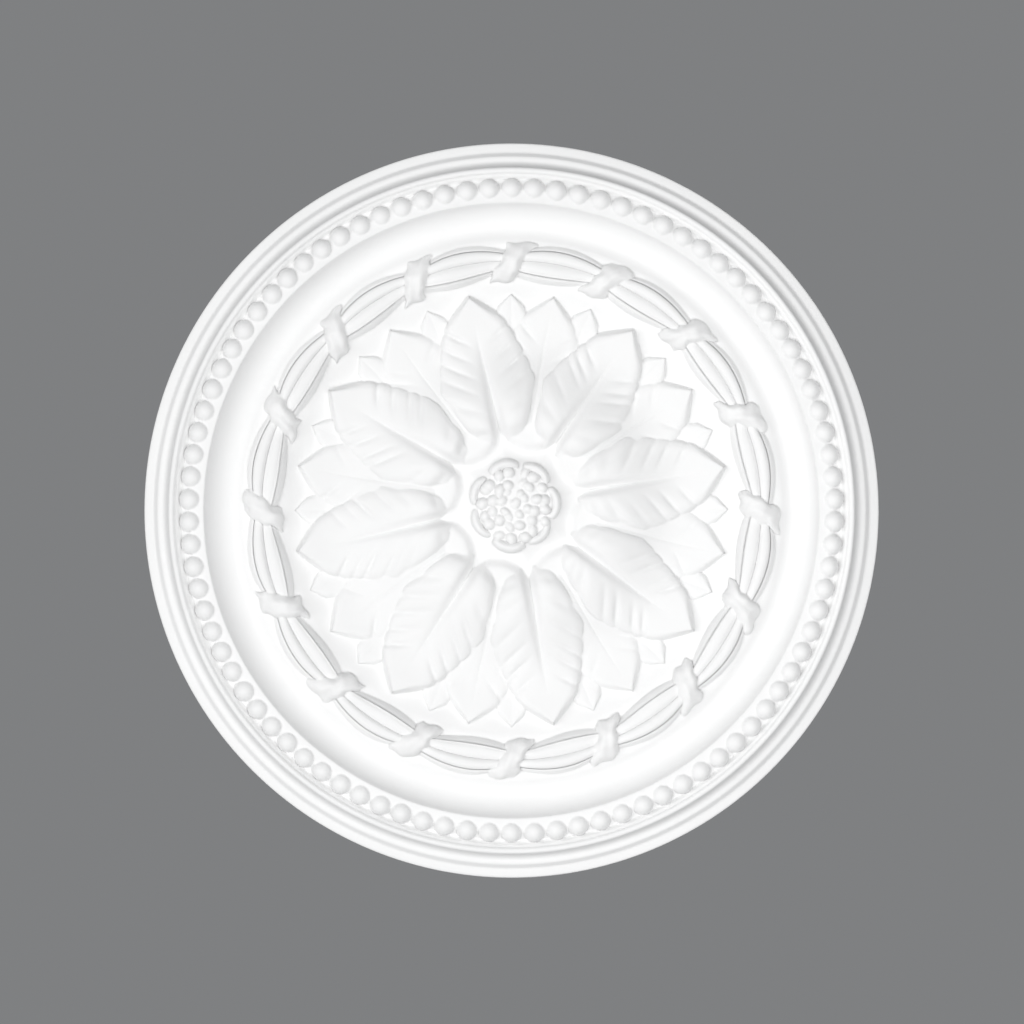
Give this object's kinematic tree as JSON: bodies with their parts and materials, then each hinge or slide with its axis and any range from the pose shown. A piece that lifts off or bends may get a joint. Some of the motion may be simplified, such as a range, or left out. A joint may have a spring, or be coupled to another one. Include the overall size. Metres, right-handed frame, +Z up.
{
  "type": "ceiling rose",
  "caption": "Round cast ceiling rose with a stepped moulded edge, a ring of beads, a hollow cove, a bound reed garland and a rosette of lapped pointed leaves round a small flower boss.",
  "frame": {"origin": "centre of the flat back face, where it meets the ceiling", "axes": "+Z up, out of the back face into the ceiling, so the ornament faces down along -Z; +X and +Y lie in the ceiling plane"},
  "size_m": [0.4999, 0.5, 0.0355],
  "materials": {
    "painted_plaster": "matt white paint on cast gypsum plaster"
  },
  "bodies": {
    "root": {"ceiling_rose": "painted_plaster"}
  },
  "joints": []
}
